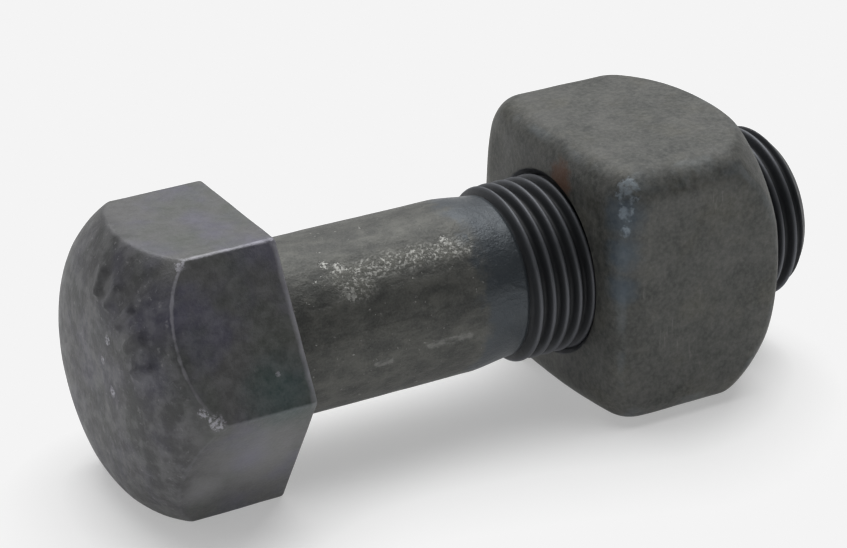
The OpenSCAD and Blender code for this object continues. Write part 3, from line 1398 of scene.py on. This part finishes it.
    def end_face(self, shell: Shell, ring: list[int]) -> None:
        """Closes the threaded end with a slightly dished face.

        Args:
            shell: The bolt's shell.
            ring: The thread's last ring.
        """
        angles = np.array([shell.angle(i) for i in ring])
        skin = Skin(angles)
        point_r = self.crest_r - self.point_cut
        for share in (1.0, 0.985, 0.96, 0.9, 0.8, 0.65, 0.5, 0.35, 0.2, 0.08):
            sunk = self.dish * (1 - share**2) if share < 1 else 0.0
            skin.add(skin.pair(self.layout.end_x - sunk, point_r * share)[None], self.HEAD)
        count = (len(skin.points), len(angles))
        edge = np.full(count, FAR_FROM_EDGE)
        edge[:3] = np.array([0.0, 0.12, 0.3])[:, None]
        _, last = shell.add_skin(skin, edge, np.zeros(count))
        shell.add_pole(last, self.layout.end_x - self.dish, self.HEAD)

    def build(self, finishes: list[bpy.types.Material]) -> bpy.types.Object:
        """Builds the whole bolt.

        Args:
            finishes: Those of head, shank and thread.

        Returns:
            The bolt.
        """
        lay = self.layout
        shell = Shell()
        skin = self.skin()
        along = np.stack(skin.points)[..., 0]
        forged = np.clip((lay.thread_x - 1.0 - along) / 3.0, 0, 1)
        neck_ring, last_ring = shell.add_skin(skin, self.edge_distance(skin), forged)
        shell.add_pole(last_ring, float(self.crown_at(np.zeros(1), np.zeros(1))[0]), self.HEAD)
        span = shell.add_mesh(self.thread_mesh(finishes[self.THREAD]), self.THREAD)
        shell.zip_rings(neck_ring, shell.ring_at(span, lay.thread_x), self.SHANK)
        self.end_face(shell, shell.ring_at(span, lay.end_x))
        bolt = shell.build("hex_bolt_forging")
        return ForgedSkin(finishes, GradeMarks()).run(bolt, swell=0.22, pits=0.05, seed=2.0)


@dataclass
class SquareNut:
    """The nut: a thick square block, rounded round its seat, crowned on the far side, tapped."""

    layout: Layout
    form: ThreadForm
    corner_r: float = 3.5
    edge_r: float = 3.2
    edge_square: float = 0.75
    seat_dome: float = 0.025
    dome_from: float = 11.5
    mouth_room: float = 0.1
    mouth_depth: float = 0.45
    mouth_lip: float = 0.12
    minor_r: float = 8.72
    flat_r: float = 13.1
    crown_slope: float = 0.16
    crown_curve: float = 0.143
    crown_bevel: float = 0.9
    rim_outer: float = 0.35
    rim_inner: float = 0.5
    corner_taper: float = 0.55
    least_corner_r: float = 1.0
    corner_wear: float = 0.8
    wear_start: float = 2.4
    seat_wear: float = 0.22
    section: PolygonSection = PolygonSection(
        sides=4, first_flat=0.0, flat_columns=34, corner_columns=14)

    SKIN, THREAD = 0, 1

    @property
    def mouth_r(self) -> float:
        """Radius of the countersinks at the two faces."""
        return self.layout.thread_r + self.mouth_room + self.mouth_depth

    def crown_at(self, radius: Grid) -> Grid:
        """Place of the crown's surface along the bolt."""
        out = np.maximum(radius - self.flat_r, 0)
        return self.layout.far_x - out * (self.crown_slope + self.crown_curve * out)

    def side_radius(self, angles: Grid, inset: float) -> Grid:
        """Outline of the block where it is drawn in by an inset."""
        corner = max(self.corner_r - self.corner_taper * inset, self.least_corner_r)
        return self.section.radius(angles, self.layout.nut_half - inset, corner)

    def skin(self) -> Skin:
        """Rows from the near mouth, over the block to the far mouth.

        Returns:
            The skin, open at both mouths.
        """
        lay = self.layout
        angles = self.section.columns(lay.nut_half, self.corner_r)
        skin = Skin(angles)
        mouth = skin.pair(lay.seat_x, self.mouth_r + self.mouth_lip)
        arc = []
        for lean in np.linspace(0.97 * math.pi / 2, 0, 24):
            inset = self.edge_r * (1 - math.cos(lean) ** self.edge_square)
            depth = self.edge_r * (1 - math.sin(lean) ** self.edge_square)
            radius = self.side_radius(angles, inset)
            domed = self.seat_dome * np.maximum(radius - self.dome_from, 0) ** 2
            arc.append(skin.pair(lay.seat_x + depth + domed, radius))
        skin.add(mouth[None], self.SKIN)
        skin.add(skin.straight(mouth, arc[0], 6, crowd=0.0), self.SKIN)
        skin.add(np.stack(arc), self.SKIN)
        outer = self.side_radius(angles, 0.0)
        top = self.crown_at(outer)
        lip = self.crown_bevel
        skin.add(skin.straight(arc[-1], skin.pair(top - lip, outer), 26, crowd=0.5), self.SKIN)
        inner = outer - lip * 0.75
        after = skin.pair(self.crown_at(inner), inner)
        skin.add(skin.rounded(skin.pair(top - lip, outer), skin.pair(top, outer), after, 9), self.SKIN)
        rim = self.flat_r + self.rim_outer
        for share in np.linspace(0, 1, 12)[1:]:
            radius = np.maximum(inner + (rim - inner) * share, 0)
            skin.add(skin.pair(self.crown_at(radius), radius)[None], self.SKIN)
        rim_row = skin.points[-1]
        flat = skin.pair(lay.far_x, self.flat_r - self.rim_inner)
        skin.add(skin.rounded(rim_row, skin.pair(lay.far_x, self.flat_r), flat, 6)[1:], self.SKIN)
        far_mouth = skin.pair(lay.far_x, self.mouth_r + self.mouth_lip)
        skin.add(skin.straight(flat, far_mouth, 5), self.SKIN)
        skin.add(far_mouth[None], self.SKIN)
        return skin

    def edge_distance(self, skin: Skin) -> Grid:
        """Distance of each vertex to the nearest edge: of the seat, the crown or a long corner.

        Args:
            skin: The rows.

        Returns:
            The distances, row by row.
        """
        data = np.stack(skin.points)
        along, radius = data[..., 0], data[..., 1]
        outer = self.side_radius(skin.angles, 0.0)
        top = self.crown_at(outer)
        from_crown = np.hypot(along - top, radius - outer)
        from_middle = self.section.corner_distance(skin.angles, outer)
        aside = np.maximum(from_middle - self.corner_wear, 0)
        start = self.layout.seat_x + self.wear_start
        past = np.maximum(along - top, 0) + np.maximum(start - along, 0)
        from_corner = np.hypot(aside, np.hypot(radius - outer, past))
        drawn_in = self.seat_wear * self.edge_r
        from_seat = np.hypot(along - self.layout.seat_x - drawn_in, radius - outer + drawn_in)
        nearest = np.minimum(np.minimum(from_crown, from_corner), from_seat)
        return np.minimum(nearest, FAR_FROM_EDGE)

    def thread_mesh(self, finish: bpy.types.Material) -> bpy.types.Mesh:
        """The internal thread with its two countersinks. It follows the bolt's own helix.

        Args:
            finish: The thread's material.

        Returns:
            The thread's surface, open at both ends.
        """
        lay, pitch = self.layout, self.form.pitch
        turns_away = (lay.seat_x - lay.thread_x) / pitch
        cuts = {
            "Clearance": self.form.clearance,
            "Limit Radius": self.minor_r,
            "Start Radius": self.mouth_r,
            "Start Slope": -1.0,
            "End Radius": self.mouth_r,
            "End Slope": -1.0,
            "Crest Place": (self.form.crest_place - turns_away) % 1.0,
        }
        surface = ScrewSurface(ThreadSide.INTERNAL, self.form)
        return surface.mesh(lay.seat_x, lay.far_x, lay.thread_r, cuts, finish)

    def build(self, finishes: list[bpy.types.Material]) -> bpy.types.Object:
        """Builds the whole nut.

        Args:
            finishes: Those of the outside and of the thread.

        Returns:
            The nut.
        """
        lay = self.layout
        shell = Shell()
        skin = self.skin()
        radius = np.stack(skin.points)[..., 1]
        forged = np.clip((radius - self.mouth_r - 0.3) / 1.5, 0, 1)
        near, far = shell.add_skin(skin, self.edge_distance(skin), forged)
        span = shell.add_mesh(self.thread_mesh(finishes[self.THREAD]), self.THREAD)
        shell.zip_rings(near, shell.ring_at(span, lay.seat_x), self.SKIN)
        shell.zip_rings(far, shell.ring_at(span, lay.far_x), self.SKIN)
        nut = shell.build("crowned_square_nut")
        return ForgedSkin(finishes).run(nut, swell=0.28, pits=0.05, seed=5.0)


# --------------------------------------------------------------------------- studio


@dataclass(frozen=True)
class Studio:
    """The pale floor, the soft light from above and behind, and the camera.

    The camera's distance and aim are in millimetres; the floor's size and the softbox's
    place and size are in metres.
    """

    layout: Layout
    azimuth: float = -29.1
    elevation: float = 25.27
    distance: float = 317.0
    roll: float = -0.66
    aim: tuple[float, float, float] = (20.85, 0.0, 2.06)
    lens: float = 130.44
    sensor: float = 36.0
    floor_colour: str = "#d8d8d8"
    floor_glow: float = 0.37
    floor_size: float = 8.0
    knee: float = 0.8
    white: float = 0.905
    sky_front: float = 0.03
    sky_back: float = 0.6
    softbox_place: tuple[float, float, float] = (0.3, 0.4, 1.2)
    softbox_size: float = 1.4
    softbox_power: float = 21.0

    def floor(self) -> bpy.types.Object:
        """Makes the floor that the bolt lies on.

        Returns:
            The floor.
        """
        bpy.ops.mesh.primitive_grid_add(
            x_subdivisions=4, y_subdivisions=4, size=self.floor_size,
            location=(0, 0, self.layout.floor_z * MM))
        floor = bpy.context.object
        floor.name = "studio_floor"
        material = bpy.data.materials.new("lit_white_acrylic")
        material.use_nodes = True
        material.node_tree.nodes.clear()
        tree = material.node_tree
        surface = add_node(tree, "ShaderNodeBsdfPrincipled", {
            "Base Color": linear(self.floor_colour), "Roughness": 0.9, "Specular IOR Level": 0.1,
            "Emission Color": linear("#ffffff"), "Emission Strength": self.floor_glow,
        })
        add_node(tree, "ShaderNodeOutputMaterial", {"Surface": surface})
        floor.data.materials.append(material)
        return floor

    def lights(self) -> None:
        """Hangs the softbox and sets the even light of the room."""
        world = bpy.data.worlds.new("studio")
        bpy.context.scene.world = world
        world.use_nodes = True
        world.node_tree.nodes.clear()
        tree = world.node_tree
        facing = add_node(tree, "ShaderNodeSeparateXYZ", {
            "Vector": add_node(tree, "ShaderNodeTexCoord"),
        })
        strength = add_node(tree, "ShaderNodeMapRange", {
            "Value": facing.outputs["Y"], "From Min": -0.6, "From Max": 0.8,
            "To Min": self.sky_front, "To Max": self.sky_back,
        })
        back = add_node(tree, "ShaderNodeBackground", {
            "Color": linear("#f6f6f6"), "Strength": strength,
        })
        add_node(tree, "ShaderNodeOutputWorld", {"Surface": back})
        data = bpy.data.lights.new("softbox_above", "AREA")
        data.shape = "SQUARE"
        data.size = self.softbox_size
        data.energy = self.softbox_power
        light = bpy.data.objects.new("softbox_above", data)
        light.location = self.softbox_place
        light.rotation_euler = Vector(self.softbox_place).to_track_quat("Z", "Y").to_euler()
        bpy.context.scene.collection.objects.link(light)

    def tone(self) -> None:
        """Keeps the colours as they are, up to a knee from where they run out into one white."""
        view = bpy.context.scene.view_settings
        view.view_transform = "Standard"
        view.use_curve_mapping = True
        view.curve_mapping.extend = "HORIZONTAL"
        curve = view.curve_mapping.curves[3]
        curve.points[1].location = (1.0, self.white)
        curve.points.new(self.knee, self.knee)
        for point in curve.points:
            point.handle_type = "VECTOR"
        view.curve_mapping.update()

    def camera(self) -> bpy.types.Object:
        """Sets the camera up.

        Returns:
            The camera.
        """
        turn, tilt = math.radians(self.azimuth), math.radians(self.elevation)
        away = Vector((
            math.sin(turn) * math.cos(tilt), -math.cos(turn) * math.cos(tilt), math.sin(tilt)))
        data = bpy.data.cameras.new("camera")
        data.sensor_fit = "HORIZONTAL"
        data.sensor_width = self.sensor
        data.lens = self.lens
        data.clip_start = 0.01
        camera = bpy.data.objects.new("camera", data)
        camera.location = (Vector(self.aim) + away * self.distance) * MM
        level = away.to_track_quat("Z", "Y")
        turned = level @ Quaternion((0, 0, 1), math.radians(self.roll))
        camera.rotation_euler = turned.to_euler()
        bpy.context.scene.collection.objects.link(camera)
        bpy.context.scene.camera = camera
        return camera


def main() -> None:
    """Builds the studio, the bolt and the nut, and joins them to the CAD bodies."""
    logging.basicConfig(level=logging.INFO, format="%(name)s: %(message)s")
    layout = Layout.from_frame(frame["record"])
    form = ThreadForm()
    studio = Studio(layout)
    studio.floor()
    studio.lights()
    studio.tone()
    studio.camera()

    thread_finish = RolledThread(layout.thread_r, layout.thread_r - form.depth).build()
    head = OilBlackenedSteel(
        nicks=(
            Spot((-10.4, -8.6, 13.9), 0.7), Spot((-11.8, -15.4, 1.5), 0.6),
            Spot((-10.7, -16.1, 0.5), 0.95), Spot((-16.1, -3.5, 5.3), 0.55),
            Spot((-16.2, -2.4, 2.7), 0.45), Spot((-16.1, -4.4, 0.1), 0.6),
            Spot((-3.4, -14.6, 3.2), 0.3),
        ),
        bruises=(Spot((-13.2, -9.5, 9.5), 4.5), Spot((-14.0, -10.0, 4.0), 4.0),
                 Spot((-6.0, -13.5, -6.5), 3.0)),
        tempered=(Spot((-3.5, -15.4, 1.6), 5.5),),
        # Painted light: these two spots lighten the head's lower front flat where the floor lights it.
        bared_and_painted_light=(Spot((-5.0, -13.0, -6.0), 8.0), Spot((-10.0, -11.5, -9.0), 4.0)),
    ).build()
    shank = ScaledShank(
        chipped=(Streak(8.0, 22.6, -5.6, 7.3, 1.8), Streak(8.6, 10.0, -6.6, 6.3, 2.3)),
        chips=(
            Spot((7.1, -4.3, 8.1), 0.6), Spot((8.6, -4.8, 7.8), 0.7), Spot((8.6, -7.3, 5.5), 0.6),
            Spot((20.6, -4.7, 7.9), 0.6), Spot((22.2, -5.3, 7.5), 0.7),
        ),
        scrapes=(Streak(16.4, 21.1, -9.1, -1.2, 0.6), Streak(10.4, 12.0, -9.0, -1.8, 0.5)),
    ).build()
    bolt = HexBolt(layout, form).build([head, shank, thread_finish])
    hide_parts("bolt")
    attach(bolt, "bolt")

    skin = TumbledForging(
        rust_spots=(Spot((35.6, -2.9, 10.6), 2.5),),
        rubbed=(Spot((37.0, -13.2, 12.9), 1.7), Spot((36.7, -13.6, 10.4), 1.0),
                Spot((36.6, -13.6, 8.4), 0.7)),
        blued=(Spot((36.4, -13.4, 10.0), 3.6), Spot((36.3, -13.6, 6.0), 3.0),
               Spot((36.3, -13.6, 2.0), 2.6)),
        scuffs=(Spot((42.0, -14.3, -4.0), 3.0), Spot((45.8, -14.3, -7.0), 2.4)),
    ).build()
    nut = SquareNut(layout, form).build([skin, thread_finish])
    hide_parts("square_nut")
    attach(nut, "nut")

    for piece in (bolt, nut):
        LOG.info("%s: %d faces", piece.name, len(piece.data.polygons))


if __name__ == "__main__":
    main()
